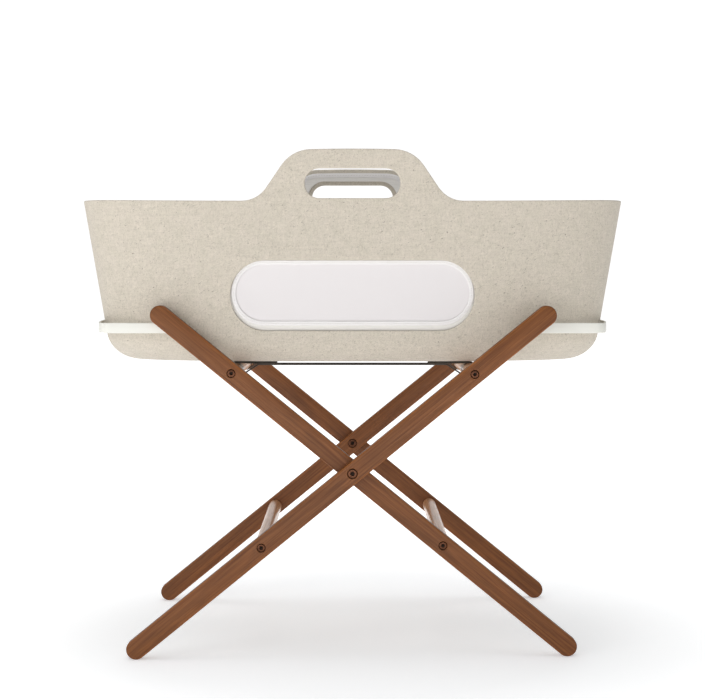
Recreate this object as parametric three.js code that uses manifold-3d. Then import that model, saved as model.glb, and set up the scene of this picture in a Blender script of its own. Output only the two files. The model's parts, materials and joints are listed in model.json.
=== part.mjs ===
// Moulded felt moses basket on a folding wooden cross-leg stand.
// Millimetres, +Z up. The origin is on the floor below the middle of the basket,
// +X runs along the basket's length and -Y is the front.

import * as THREE from 'three';
import { mergeVertices } from 'three/addons/utils/BufferGeometryUtils.js';
import Module from 'manifold-3d';

const wasm = await Module();
wasm.setup();

// ---------------------------------------------------------------- driving dimensions

const GAP = 0.3; // clearance between pieces that touch

// Stand
const LEG_ANGLE = THREE.MathUtils.degToRad(39.1); // from the floor
const LEG_WIDTH = 29.5;
const LEG_THICK = 18.5;
const LEG_ARRIS = 1.5;
const FOOT_REACH = 414; // pivot to the centre of the rounded foot
const TIP_REACH = 372; // pivot to the centre of the rounded tip
const LEG_PITCH = 20.5; // centre to centre of two legs that cross
const FRAME_HALF = 216.3; // stand centre to the middle of a crossing pair
const OUTER_LEG_Y = FRAME_HALF + LEG_PITCH / 2;
const INNER_LEG_Y = FRAME_HALF - LEG_PITCH / 2;
const PIVOT_Z = LEG_WIDTH / 2 + FOOT_REACH * Math.sin(LEG_ANGLE);

// Crossbars
const DOWEL_R = 11;
const UPPER_REACH = 234; // pivot to the upper crossbar
const LOWER_REACH = -174.5; // pivot to the lower crossbar

// Fasteners
const SHAFT_R = 3;
const CLEAR_R = 3.4;
const BORE_DEPTH = 5; // counterbore that hides a head below the wood
const HEAD_H = 4;
const SCREW_HEAD_R = 6.3;
const PIVOT_HEAD_R = 7.5;
const HEX_R = 2.9;
const HEX_DEPTH = 2.4;
const INSERT_R = 4.7;
const INSERT_LENGTH = 13;
const INSERT_HOLE_R = 5;
const INSERT_HOLE_DEPTH = 16;
const WASHER_R = 11;

// Guard hoops
const HOOP_TOP = 498.5;
const HOOP_HEIGHT = 15.5;
const HOOP_THICK = 3;
const HOOP_HALF = INNER_LEG_Y - LEG_THICK / 2 - GAP; // outer face, from the centre line
const HOOP_END = 403;
const HOOP_BOW = 18;
const HOOP_CORNER = 22;
const HOOP_START = 252;
const HOOP_SCREW_R = 1.7;
const HOOP_SCREW_HEAD_R = 4.5;
const HOOP_SCREW_HEAD_H = 1.6;
const HOOP_SCREW_HOLE_R = 2.1;
const HOOP_SCREW_BITE = 11;
const SPACER_R = 8;

// Straps
const STRAP_Y = 112;
const STRAP_WIDTH = 40;
const STRAP_THICK = 2;
const STRAP_TOP = 433.2; // top of the single span
const STRAP_JOIN = 146; // where the loop closes
const STRAP_TAIL = 118; // where the sewn-back end stops

// Basket
const BASE_Z = 437.8;
const BASE_RADIUS = 36;
const WALL_REF_Z = 498.5;
const HALF_LENGTH = 393.5; // outside, at WALL_REF_Z
const HALF_WIDTH = 190; // outside, at WALL_REF_Z
const FLARE = Math.tan(THREE.MathUtils.degToRad(9.5));
const WALL_POWER = 4.2; // superellipse exponent of the walls
const BASE_POWER = 3; // and of the floor
const FELT = 5;
const RIM_Z = 681.7;
const RIM_RISE = 4.7; // the rim's ends stand this much above its sides
const RIM_HALF = 419; // where that rise is reached
const HUMP_TOP = 757.8;
const HUMP_FLAT = 61; // half of the handle's flat top
const HUMP_TOP_R = 55;
const HUMP_FOOT_R = 45;
const HUMP_SLOPE = THREE.MathUtils.degToRad(55.5);
const SLOT_WIDTH = 143;
const SLOT_HEIGHT = 44;
const SLOT_Z = 707.5;
const WINDOW_WIDTH = 369;
const WINDOW_HEIGHT = 106.4;
const WINDOW_Z = 539.8;

// Inside the basket
const BOARD_THICK = 3;
const LINER_SKIN = FELT + 0.5; // liner's outer face, in from the felt's outer face
const LINER_THICK = 1.5;
const LINER_DROP = 7; // liner edge below the rim
const LINER_FLOOR = BASE_Z + FELT + BOARD_THICK + 3 * GAP;
const MESH_WIDTH = 356;
const MESH_HEIGHT = 88.5;
const MESH_Z = 543.8;
const MATTRESS_SKIN = LINER_SKIN + LINER_THICK + 2;
const MATTRESS_FLOOR = LINER_FLOOR + LINER_THICK + GAP;
const MATTRESS_TOP = 499;
const COVER_THICK = 1.5;

// Facets
const PLAN_STEPS = 40;
const ARC_STEPS = 6;
const ROUND_STEPS = 20;

// ---------------------------------------------------------------- materials

function material(color, roughness, metalness = 0) {
  return new THREE.MeshStandardMaterial({ color, roughness, metalness });
}

const felt = material(0xcfc6b6, 0.95);
const cotton = material(0xf1eeea, 0.9);
const mesh = material(0xeceaea, 0.85);
const board = material(0xa88f6c, 0.8);
const foam = material(0xf4f1e2, 0.95);
const walnut = material(0x7d5238, 0.5);
const walnutDowel = material(0x9a6f5b, 0.4);
const bronze = material(0x3b2e27, 0.45, 0.8);
const brass = material(0xb08d4a, 0.4, 0.9);
const nylon = material(0x2b2b2b, 0.6);
const webbing = material(0x4a443c, 0.9);
const hoopPaint = material(0xd9dad0, 0.5);

// ---------------------------------------------------------------- geometry helpers

function toSolid(geometry) {
  const bare = geometry.index ? geometry.toNonIndexed() : geometry.clone();
  bare.deleteAttribute('normal');
  bare.deleteAttribute('uv');
  const merged = mergeVertices(bare, 1e-4);
  return new wasm.Manifold(
    new wasm.Mesh({
      numProp: 3,
      vertProperties: new Float32Array(merged.attributes.position.array),
      triVerts: new Uint32Array(merged.index.array),
    }),
  );
}

function toGeometry(solid) {
  const { vertProperties, triVerts } = solid.getMesh();
  const geometry = new THREE.BufferGeometry();
  geometry.setAttribute('position', new THREE.BufferAttribute(vertProperties, 3));
  geometry.setIndex(new THREE.BufferAttribute(triVerts, 1));
  geometry.computeVertexNormals();
  return geometry;
}

function cut(geometry, ...tools) {
  const solid = tools.reduce((left, tool) => left.subtract(toSolid(tool)), toSolid(geometry));
  return toGeometry(solid);
}

function join(geometry, ...others) {
  const solid = others.reduce((left, other) => left.add(toSolid(other)), toSolid(geometry));
  return toGeometry(solid);
}

function keep(geometry, ...tools) {
  const solid = tools.reduce((left, tool) => left.intersect(toSolid(tool)), toSolid(geometry));
  return toGeometry(solid);
}

// A closed solid through rings of equal length, each a convex loop seen anticlockwise from above.
function loft(rings) {
  const count = rings[0].length;
  const positions = [];
  const push = (...points) => points.forEach((p) => positions.push(p.x, p.y, p.z));
  for (let level = 0; level + 1 < rings.length; level += 1) {
    for (let i = 0; i < count; i += 1) {
      const j = (i + 1) % count;
      const [low, high] = [rings[level], rings[level + 1]];
      push(low[i], low[j], high[j]);
      push(low[i], high[j], high[i]);
    }
  }
  const [bottom, top] = [rings[0], rings[rings.length - 1]];
  const bottomCentre = new THREE.Vector3(0, 0, bottom[0].z);
  const topCentre = new THREE.Vector3(0, 0, top[0].z);
  for (let i = 0; i < count; i += 1) {
    const j = (i + 1) % count;
    push(bottomCentre, bottom[j], bottom[i]);
    push(topCentre, top[i], top[j]);
  }
  const geometry = new THREE.BufferGeometry();
  geometry.setAttribute('position', new THREE.Float32BufferAttribute(positions, 3));
  return mergeVertices(geometry, 1e-4);
}

// A shape drawn in X and Z, extruded along Y from y0 to y1.
function alongY(shape, y0, y1) {
  const geometry = new THREE.ExtrudeGeometry(shape, {
    depth: y1 - y0,
    bevelEnabled: false,
    curveSegments: ROUND_STEPS / 2,
  });
  return geometry.rotateX(Math.PI / 2).translate(0, y1, 0);
}

function cylinderY(radius, y0, y1, x = 0, z = 0) {
  const geometry = new THREE.CylinderGeometry(radius, radius, y1 - y0, ROUND_STEPS);
  return geometry.translate(x, (y0 + y1) / 2, z);
}

function stadium(width, height, z) {
  const r = height / 2;
  const straight = width / 2 - r;
  const shape = new THREE.Shape();
  shape.moveTo(-straight, z - r);
  shape.lineTo(straight, z - r);
  shape.absarc(straight, z, r, -Math.PI / 2, Math.PI / 2, false);
  shape.lineTo(-straight, z + r);
  shape.absarc(-straight, z, r, Math.PI / 2, Math.PI * 1.5, false);
  return shape;
}

function addMesh(parent, name, geometry, finish) {
  const node = new THREE.Mesh(geometry, finish);
  node.name = name;
  parent.add(node);
  return node;
}

// ---------------------------------------------------------------- basket surfaces

// One level of the basket's wall, moved in by skin; its floor is at floorZ with a rounded edge.
function basketRing(z, skin, floorZ) {
  const radius = BASE_RADIUS - skin;
  const rise = Math.min(Math.max(z - floorZ, 0), radius);
  const edge = radius - Math.sqrt(radius * radius - (radius - rise) ** 2);
  const blend = rise / radius;
  const power = BASE_POWER + (WALL_POWER - BASE_POWER) * blend;
  const a = HALF_LENGTH + (z - WALL_REF_Z) * FLARE - skin - edge;
  const b = HALF_WIDTH + (z - WALL_REF_Z) * FLARE - skin - edge;
  const ring = [];
  for (let i = 0; i < PLAN_STEPS; i += 1) {
    const t = (2 * Math.PI * i) / PLAN_STEPS;
    const x = a * Math.sign(Math.cos(t)) * Math.abs(Math.cos(t)) ** (2 / power);
    const y = b * Math.sign(Math.sin(t)) * Math.abs(Math.sin(t)) ** (2 / power);
    ring.push(new THREE.Vector3(x, y, z));
  }
  return ring;
}

// The basket's volume moved in by skin, from its floor up to topZ.
function basketVolume(skin, floorZ, topZ) {
  const radius = BASE_RADIUS - skin;
  const rings = [];
  for (let i = 0; i <= ARC_STEPS; i += 1) {
    const rise = radius * (1 - Math.cos((Math.PI / 2) * (i / ARC_STEPS)));
    rings.push(basketRing(floorZ + rise, skin, floorZ));
  }
  rings.push(basketRing(topZ, skin, floorZ));
  return loft(rings);
}

// The basket's outline seen from the front: a rim that rises to its ends and a handle hump.
function rimPrism(drop) {
  const rimHeight = (x) => RIM_Z + RIM_RISE * (x / RIM_HALF) ** 4 - drop;
  const turn = HUMP_SLOPE;
  const topR = HUMP_TOP_R - drop;
  const footR = HUMP_FOOT_R + drop;
  const rise = HUMP_TOP - RIM_Z;
  const straight = rise - (topR + footR) * (1 - Math.cos(turn));
  const footX = HUMP_FLAT + (topR + footR) * Math.sin(turn) + straight / Math.tan(turn);
  const reach = HALF_LENGTH + 80;
  const steps = 8;
  const half = [];
  for (let i = 0; i <= ARC_STEPS; i += 1) {
    const angle = (turn * i) / ARC_STEPS;
    half.push([HUMP_FLAT + topR * Math.sin(angle), HUMP_TOP - drop - topR * (1 - Math.cos(angle))]);
  }
  for (let i = 0; i <= ARC_STEPS; i += 1) {
    const angle = turn * (1 - i / ARC_STEPS);
    half.push([footX - footR * Math.sin(angle), RIM_Z - drop + footR * (1 - Math.cos(angle))]);
  }
  for (let i = 1; i <= steps; i += 1) {
    const x = footX + ((reach - footX) * i) / steps;
    half.push([x, rimHeight(x)]);
  }
  const shape = new THREE.Shape();
  shape.moveTo(-reach, BASE_Z - 50);
  shape.lineTo(reach, BASE_Z - 50);
  [...half].reverse().forEach(([x, z]) => shape.lineTo(x, z));
  half.forEach(([x, z]) => shape.lineTo(-x, z));
  return alongY(shape, -300, 300);
}

// ---------------------------------------------------------------- basket pieces

const ABOVE_RIM = 800;

function feltShell() {
  const wall = keep(basketVolume(0, BASE_Z, ABOVE_RIM), rimPrism(0));
  return cut(
    wall,
    basketVolume(FELT, BASE_Z + FELT, ABOVE_RIM + 10),
    alongY(stadium(SLOT_WIDTH, SLOT_HEIGHT, SLOT_Z), -300, 300),
    alongY(stadium(WINDOW_WIDTH, WINDOW_HEIGHT, WINDOW_Z), -300, 300),
  );
}

function linerLayer() {
  const outer = basketVolume(LINER_SKIN, LINER_FLOOR, ABOVE_RIM);
  const inner = basketVolume(LINER_SKIN + LINER_THICK, LINER_FLOOR + LINER_THICK, ABOVE_RIM + 10);
  return cut(outer, inner);
}

function liner() {
  const margin = 2 * LINER_DROP;
  return cut(
    keep(linerLayer(), rimPrism(LINER_DROP)),
    alongY(stadium(SLOT_WIDTH + margin, SLOT_HEIGHT + margin, SLOT_Z), -300, 300),
    alongY(stadium(MESH_WIDTH, MESH_HEIGHT, MESH_Z), -300, 300),
  );
}

function meshWindow(y0, y1) {
  const opening = stadium(MESH_WIDTH - 2 * GAP, MESH_HEIGHT - 2 * GAP, MESH_Z);
  return keep(linerLayer(), alongY(opening, y0, y1));
}

function baseBoard() {
  const z = BASE_Z + FELT + GAP;
  const outline = basketRing(z, FELT, z);
  const top = outline.map((p) => p.clone().setZ(z + BOARD_THICK));
  return loft([outline, top]);
}

function mattressCover() {
  const outer = basketVolume(MATTRESS_SKIN, MATTRESS_FLOOR, MATTRESS_TOP);
  const inner = basketVolume(
    MATTRESS_SKIN + COVER_THICK,
    MATTRESS_FLOOR + COVER_THICK,
    MATTRESS_TOP - COVER_THICK,
  );
  const zip = new THREE.BoxGeometry(40, 260, 2);
  zip.translate(-HALF_LENGTH + 10, 0, (MATTRESS_FLOOR + MATTRESS_TOP) / 2);
  return cut(outer, inner, zip);
}

function mattressCore() {
  const skin = MATTRESS_SKIN + COVER_THICK + GAP;
  const edge = COVER_THICK + GAP;
  return basketVolume(skin, MATTRESS_FLOOR + edge, MATTRESS_TOP - edge);
}

function buildBasket() {
  const basket = new THREE.Group();
  addMesh(basket, 'felt_shell', feltShell(), felt);
  addMesh(basket, 'liner', liner(), cotton);
  addMesh(basket, 'mesh_window_front', meshWindow(-300, 0), mesh);
  addMesh(basket, 'mesh_window_back', meshWindow(0, 300), mesh);
  addMesh(basket, 'base_board', baseBoard(), board);
  addMesh(basket, 'mattress_cover', mattressCover(), cotton);
  addMesh(basket, 'mattress_core', mattressCore(), foam);
  return basket;
}

// ---------------------------------------------------------------- stand pieces

// A button-headed fastener along +Z: the head's top is at z = 0 and has a hexagonal socket.
function socketScrew(headR, headH, shaftR, shaftLength, socketR, socketDepth) {
  const crownR = 0.55 * headR;
  const crownH = 0.55 * headH;
  const steps = 4;
  const profile = [
    [0, -headH - shaftLength],
    [shaftR, -headH - shaftLength],
    [shaftR, -headH],
    [headR, -headH],
  ];
  for (let i = 0; i <= steps; i += 1) {
    const angle = (Math.PI / 2) * (i / steps);
    profile.push([crownR + (headR - crownR) * Math.cos(angle), crownH * (Math.sin(angle) - 1)]);
  }
  profile.push([0, 0]);
  const points = profile.map(([r, z]) => new THREE.Vector2(r, z));
  const body = new THREE.LatheGeometry(points, ROUND_STEPS).rotateX(Math.PI / 2);
  const socket = new THREE.CylinderGeometry(socketR, socketR, 2 * socketDepth, 6);
  return cut(body, socket.rotateX(Math.PI / 2));
}

// A sleeve along Z from z = 0 down; a floor closes its lower end when depth is less than length.
function sleeve(outerR, innerR, length, depth = length) {
  const open = depth === length;
  const profile = [
    [open ? innerR : 0, -length],
    [outerR, -length],
    [outerR, 0],
    [innerR, 0],
    [innerR, -depth],
    ...(open ? [] : [[0, -depth]]),
  ].map(([r, z]) => new THREE.Vector2(r, z));
  return new THREE.LatheGeometry(profile, ROUND_STEPS).rotateX(Math.PI / 2);
}

// A leg in its frame's own axes: X along the leg from the pivot, Z across it, Y through it.
// pivotSide and screwSide are -1 or 1 for the face that each counterbore is sunk into.
function leg(pivotSide, screwSide) {
  const half = LEG_THICK / 2;
  const r = LEG_WIDTH / 2;
  const shape = new THREE.Shape();
  shape.moveTo(-FOOT_REACH, -r + LEG_ARRIS);
  shape.lineTo(TIP_REACH, -r + LEG_ARRIS);
  shape.absarc(TIP_REACH, 0, r - LEG_ARRIS, -Math.PI / 2, Math.PI / 2, false);
  shape.lineTo(-FOOT_REACH, r - LEG_ARRIS);
  shape.absarc(-FOOT_REACH, 0, r - LEG_ARRIS, Math.PI / 2, Math.PI * 1.5, false);
  const wood = new THREE.ExtrudeGeometry(shape, {
    depth: LEG_THICK - 2 * LEG_ARRIS,
    bevelEnabled: true,
    bevelSize: LEG_ARRIS,
    bevelThickness: LEG_ARRIS,
    bevelSegments: 1,
    curveSegments: ROUND_STEPS / 2,
  });
  wood.translate(0, 0, -half + LEG_ARRIS).rotateX(Math.PI / 2);
  const through = (x) => cylinderY(CLEAR_R, -LEG_THICK, LEG_THICK, x);
  const bore = (x, headR, side) => {
    const faces = [side * (half - BORE_DEPTH), side * LEG_THICK].sort((a, b) => a - b);
    return cylinderY(headR + 0.6, faces[0], faces[1], x);
  };
  const inward = -screwSide;
  const bite = [inward * (half - HOOP_SCREW_BITE - 2), inward * LEG_THICK].sort((a, b) => a - b);
  return cut(
    wood,
    through(0),
    bore(0, PIVOT_HEAD_R, pivotSide),
    through(UPPER_REACH),
    bore(UPPER_REACH, SCREW_HEAD_R, screwSide),
    through(LOWER_REACH),
    bore(LOWER_REACH, SCREW_HEAD_R, screwSide),
    cylinderY(HOOP_SCREW_HOLE_R, bite[0], bite[1], HOOP_SCREW_REACH),
  );
}

function dowel(y0, y1) {
  const depth = INSERT_HOLE_DEPTH;
  const profile = [
    [0, y0 + depth],
    [INSERT_HOLE_R, y0 + depth],
    [INSERT_HOLE_R, y0],
    [DOWEL_R, y0],
    [DOWEL_R, y1],
    [INSERT_HOLE_R, y1],
    [INSERT_HOLE_R, y1 - depth],
    [0, y1 - depth],
  ].map(([r, y]) => new THREE.Vector2(r, y));
  return new THREE.LatheGeometry(profile, ROUND_STEPS);
}

function hoopOutline(inset) {
  const side = HOOP_HALF - inset;
  const r = HOOP_CORNER - inset;
  const flank = side - r;
  const shoulder = HOOP_END - inset - HOOP_BOW;
  const points = [[HOOP_START, -side]];
  for (let i = 0; i <= ARC_STEPS; i += 1) {
    const angle = (Math.PI / 2) * (i / ARC_STEPS);
    points.push([shoulder - r + r * Math.sin(angle), -flank - r * Math.cos(angle)]);
  }
  const steps = 10;
  for (let i = 1; i < steps; i += 1) {
    const y = flank * (-1 + (2 * i) / steps);
    points.push([shoulder + HOOP_BOW * (1 - (y / flank) ** 2), y]);
  }
  for (let i = ARC_STEPS; i >= 0; i -= 1) {
    const angle = (Math.PI / 2) * (i / ARC_STEPS);
    points.push([shoulder - r + r * Math.sin(angle), flank + r * Math.cos(angle)]);
  }
  points.push([HOOP_START, side]);
  return points;
}

const HOOP_Z = HOOP_TOP - HOOP_HEIGHT / 2;
const HOOP_SCREW_REACH = (HOOP_Z - PIVOT_Z) / Math.sin(LEG_ANGLE);
const HOOP_SCREW_X = HOOP_SCREW_REACH * Math.cos(LEG_ANGLE);

function hoop() {
  const loop = [...hoopOutline(0), ...hoopOutline(HOOP_THICK).reverse()];
  const shape = new THREE.Shape(loop.map(([x, y]) => new THREE.Vector2(x, y)));
  const bar = new THREE.ExtrudeGeometry(shape, { depth: HOOP_HEIGHT, bevelEnabled: false });
  bar.translate(0, 0, HOOP_TOP - HOOP_HEIGHT);
  return cut(bar, cylinderY(HOOP_SCREW_HOLE_R, -300, 300, HOOP_SCREW_X, HOOP_Z));
}

// Tangent points and far side of a circle seen from a point: a closed teardrop.
function teardrop(centre, radius, tip) {
  const offset = tip.clone().sub(centre);
  const spread = Math.acos(radius / offset.length());
  const start = offset.angle() + spread;
  const sweep = 2 * Math.PI - 2 * spread;
  const steps = 16;
  const points = [tip];
  for (let i = 0; i <= steps; i += 1) {
    const angle = start + (sweep * i) / steps;
    points.push(new THREE.Vector2(Math.cos(angle), Math.sin(angle)).multiplyScalar(radius).add(centre));
  }
  return new THREE.Shape(points);
}

// Webbing between the upper crossbars: a single span, and each end looped and sewn back on top.
function strap(y) {
  const [y0, y1] = [y - STRAP_WIDTH / 2, y + STRAP_WIDTH / 2];
  const dowelX = UPPER_REACH * Math.cos(LEG_ANGLE);
  const dowelZ = PIVOT_Z + UPPER_REACH * Math.sin(LEG_ANGLE);
  const span = new THREE.BoxGeometry(2 * STRAP_JOIN, STRAP_WIDTH, STRAP_THICK);
  span.translate(0, y, STRAP_TOP - STRAP_THICK / 2);
  const tailLength = STRAP_JOIN - STRAP_TAIL;
  const pieces = [];
  const holes = [];
  [-1, 1].forEach((side) => {
    const centre = new THREE.Vector2(side * dowelX, dowelZ);
    const outerTip = new THREE.Vector2(side * (STRAP_JOIN - 8), STRAP_TOP);
    const innerTip = new THREE.Vector2(side * (STRAP_JOIN + 2), STRAP_TOP);
    const tail = new THREE.BoxGeometry(tailLength, STRAP_WIDTH, STRAP_THICK + 0.2);
    tail.translate(side * (STRAP_TAIL + tailLength / 2), y, STRAP_TOP + STRAP_THICK / 2 - 0.1);
    pieces.push(alongY(teardrop(centre, DOWEL_R + GAP + STRAP_THICK, outerTip), y0, y1), tail);
    holes.push(alongY(teardrop(centre, DOWEL_R + GAP, innerTip), y0 - 1, y1 + 1));
  });
  return cut(join(span, ...pieces), ...holes);
}

// ---------------------------------------------------------------- stand assembly

// One of the two identical frames: an outer leg in front, an inner leg behind, two crossbars,
// and the guard hoop at its upper end. The second frame is the first turned half round.
function buildFrame(letter, outerName, innerName) {
  const frame = new THREE.Group();
  const tilted = new THREE.Group();
  tilted.position.z = PIVOT_Z;
  tilted.rotation.y = -LEG_ANGLE;
  frame.add(tilted);

  const half = LEG_THICK / 2;
  const outerInside = -OUTER_LEG_Y + half;
  const innerInside = INNER_LEG_Y - half;
  addMesh(tilted, `leg_${letter}_${outerName}`, leg(-1, -1), walnut).position.y = -OUTER_LEG_Y;
  addMesh(tilted, `leg_${letter}_${innerName}`, leg(-1, 1), walnut).position.y = INNER_LEG_Y;

  const shaft = LEG_THICK - BORE_DEPTH + INSERT_LENGTH - 2;
  const recess = BORE_DEPTH - HEAD_H - GAP;
  const ends = [
    { name: outerName, side: -1, face: outerInside, skin: -OUTER_LEG_Y - half },
    { name: innerName, side: 1, face: innerInside, skin: INNER_LEG_Y + half },
  ];
  [['upper', UPPER_REACH], ['lower', LOWER_REACH]].forEach(([level, reach]) => {
    const bar = dowel(outerInside + GAP, innerInside - GAP);
    addMesh(tilted, `dowel_${letter}_${level}`, bar, walnutDowel).position.x = reach;
    ends.forEach(({ name, side, face, skin }) => {
      const screw = socketScrew(SCREW_HEAD_R, HEAD_H, SHAFT_R, shaft, HEX_R, HEX_DEPTH);
      const screwNode = addMesh(tilted, `screw_${letter}_${level}_${name}`, screw, bronze);
      screwNode.rotation.x = (-side * Math.PI) / 2;
      screwNode.position.set(reach, skin - side * recess, 0);
      const insert = sleeve(INSERT_R, CLEAR_R, INSERT_LENGTH);
      const insertNode = addMesh(tilted, `insert_${letter}_${level}_${name}`, insert, brass);
      insertNode.rotation.x = (-side * Math.PI) / 2;
      insertNode.position.set(reach, face - side * 2 * GAP, 0);
    });
  });

  addMesh(frame, `hoop_${letter}`, hoop(), hoopPaint);
  const spacerLength = OUTER_LEG_Y - INNER_LEG_Y - GAP;
  const spacer = addMesh(
    frame,
    `hoop_spacer_${letter}`,
    sleeve(SPACER_R, HOOP_SCREW_HOLE_R, spacerLength),
    hoopPaint,
  );
  spacer.rotation.x = Math.PI / 2;
  spacer.position.set(HOOP_SCREW_X, outerInside + GAP, HOOP_Z);
  ends.forEach(({ name, side, face }) => {
    const barInside = side * (HOOP_HALF - HOOP_THICK);
    const reach = Math.abs(face - barInside) + HOOP_SCREW_BITE;
    const screw = socketScrew(HOOP_SCREW_HEAD_R, HOOP_SCREW_HEAD_H, HOOP_SCREW_R, reach, 1.3, 0.9);
    const node = addMesh(frame, `hoop_screw_${letter}_${name}`, screw, bronze);
    node.rotation.x = (side * Math.PI) / 2;
    node.position.set(HOOP_SCREW_X, barInside - side * (HOOP_SCREW_HEAD_H + GAP), HOOP_Z);
  });
  return frame;
}

// The bolt through one crossing: its head and its nut are sunk in the two legs' far faces.
function buildPivot(name, crossingY) {
  const pivot = new THREE.Group();
  pivot.position.set(0, crossingY, PIVOT_Z);
  const reach = LEG_PITCH / 2 + LEG_THICK / 2;
  const headTop = reach - (BORE_DEPTH - HEAD_H - GAP);
  const nutTop = headTop;
  const shaft = headTop - HEAD_H + nutTop - 1 - GAP;
  const bolt = socketScrew(PIVOT_HEAD_R, HEAD_H, SHAFT_R, shaft, HEX_R + 0.6, HEX_DEPTH);
  const boltNode = addMesh(pivot, `pivot_bolt_${name}`, bolt, bronze);
  boltNode.rotation.x = Math.PI / 2;
  boltNode.position.y = -headTop;
  const nut = sleeve(PIVOT_HEAD_R, CLEAR_R, HEAD_H, HEAD_H - 1);
  const nutNode = addMesh(pivot, `pivot_nut_${name}`, nut, bronze);
  nutNode.rotation.x = Math.PI / 2;
  nutNode.position.y = nutTop - HEAD_H;
  const washerThick = LEG_PITCH - LEG_THICK - 2 * GAP;
  const washer = sleeve(WASHER_R, CLEAR_R, washerThick);
  const washerNode = addMesh(pivot, `pivot_washer_${name}`, washer, nylon);
  washerNode.rotation.x = Math.PI / 2;
  washerNode.position.y = -washerThick / 2;
  return pivot;
}

function buildStand() {
  const stand = new THREE.Group();
  stand.add(buildFrame('a', 'front', 'back'));
  const second = buildFrame('b', 'back', 'front');
  second.rotation.z = Math.PI;
  stand.add(second);
  stand.add(buildPivot('front', -FRAME_HALF));
  stand.add(buildPivot('back', FRAME_HALF));
  addMesh(stand, 'strap_front', strap(-STRAP_Y), webbing);
  addMesh(stand, 'strap_back', strap(STRAP_Y), webbing);
  return stand;
}

// ---------------------------------------------------------------- whole object

const mosesBasket = new THREE.Group();
mosesBasket.add(buildBasket());
mosesBasket.add(buildStand());

export default mosesBasket;
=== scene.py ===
"""Felt moses basket on a folding wooden stand: the looks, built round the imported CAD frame.

Metres, +Z up, the frame of the CAD. +X runs along the basket and -Y is its front.
"""

import json
import math

import bpy
import numpy as np
from mathutils import Matrix, Vector
from mathutils.bvhtree import BVHTree


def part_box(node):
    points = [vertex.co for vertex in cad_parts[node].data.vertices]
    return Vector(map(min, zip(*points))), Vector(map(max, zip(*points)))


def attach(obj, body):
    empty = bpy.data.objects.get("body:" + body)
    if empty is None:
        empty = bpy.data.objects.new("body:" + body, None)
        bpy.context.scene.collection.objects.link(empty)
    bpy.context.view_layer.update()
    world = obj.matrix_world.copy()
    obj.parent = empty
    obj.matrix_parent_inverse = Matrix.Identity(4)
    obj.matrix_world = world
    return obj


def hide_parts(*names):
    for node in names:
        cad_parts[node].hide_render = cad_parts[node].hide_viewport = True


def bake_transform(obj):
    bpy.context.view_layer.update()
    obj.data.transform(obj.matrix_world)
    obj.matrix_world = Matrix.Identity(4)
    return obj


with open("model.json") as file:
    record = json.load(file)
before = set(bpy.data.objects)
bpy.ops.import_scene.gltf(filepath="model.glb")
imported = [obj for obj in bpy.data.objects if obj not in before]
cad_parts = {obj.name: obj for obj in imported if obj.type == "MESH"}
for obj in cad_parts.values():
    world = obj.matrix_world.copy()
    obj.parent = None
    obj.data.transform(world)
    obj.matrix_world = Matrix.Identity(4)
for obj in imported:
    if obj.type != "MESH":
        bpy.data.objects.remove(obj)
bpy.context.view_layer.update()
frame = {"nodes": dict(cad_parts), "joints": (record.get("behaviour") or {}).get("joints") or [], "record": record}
scene = bpy.context.scene

# ------------------------------------------------------------------ dimensions

MM = 0.001

# the basket's plan and lean; a skin is a distance inside the felt's outer face
REF_Z = 498.5 * MM
HALF_LENGTH = 393.5 * MM
HALF_WIDTH = 190.0 * MM
FLARE = math.tan(math.radians(9.5))
BASE_RADIUS = 36.0 * MM
QUARTER = 92  # columns in a quarter of the plan
FELT = 5.0 * MM
FELT_ROUND = 1.7 * MM
LINER_SKIN = 5.5 * MM
LINER_THICK = 1.5 * MM
LINER_DROP = 7.0 * MM
LINER_ROUND = 0.5 * MM

# the rim, rising into a hump round each handle
RIM_Z = 681.7 * MM
RIM_RISE = 4.7 * MM
RIM_HALF = 419.0 * MM
HUMP_TOP = 757.8 * MM
HUMP_CROWN = 0.7 * MM
HUMP_FLAT = 61.0 * MM
HUMP_TOP_R = 55.0 * MM
HUMP_FOOT_R = 45.0 * MM
HUMP_SLOPE = math.radians(55.5)

# stadium holes: half length, half height, height of the middle
HANDLE = (71.5 * MM, 22.0 * MM, 707.5 * MM)
WINDOW = (184.5 * MM, 53.2 * MM, 539.8 * MM)
MESH = (178.0 * MM, 44.25 * MM, 543.8 * MM)
HANDLE_LINER = (HANDLE[0] + LINER_DROP, HANDLE[1] + LINER_DROP, HANDLE[2])

# the mesh's two faces, as distances outside the lining's outer skin, and its gap to the hole
MESH_FACES = (0.2 * MM, 1.2 * MM)
MESH_GAP = 0.4 * MM

# tapes: width, thickness
BINDING_DROP = 11.0 * MM
BINDING = (8.0 * MM, 0.9 * MM)
MESH_TAPE = (6.6 * MM, 2.0 * MM)
FACING = (7.0 * MM, 0.8 * MM)

# the mattress, which is cut smaller than its CAD cover and then filled
PAD_SKIN = 14.0 * MM
PAD_LIFT = 3.0 * MM
PAD_DROP = 7.0 * MM
PAD_TAPER = 3.5 * MM
QUILT = 62.0 * MM
QUILT_DEPTH = 5.0 * MM
QUILT_WIDTH = 5.0 * MM
CORD = 4.0 * MM
SEAM_PROBE = 60.0 * MM  # how far in from the felt the cushion is looked for

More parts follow.
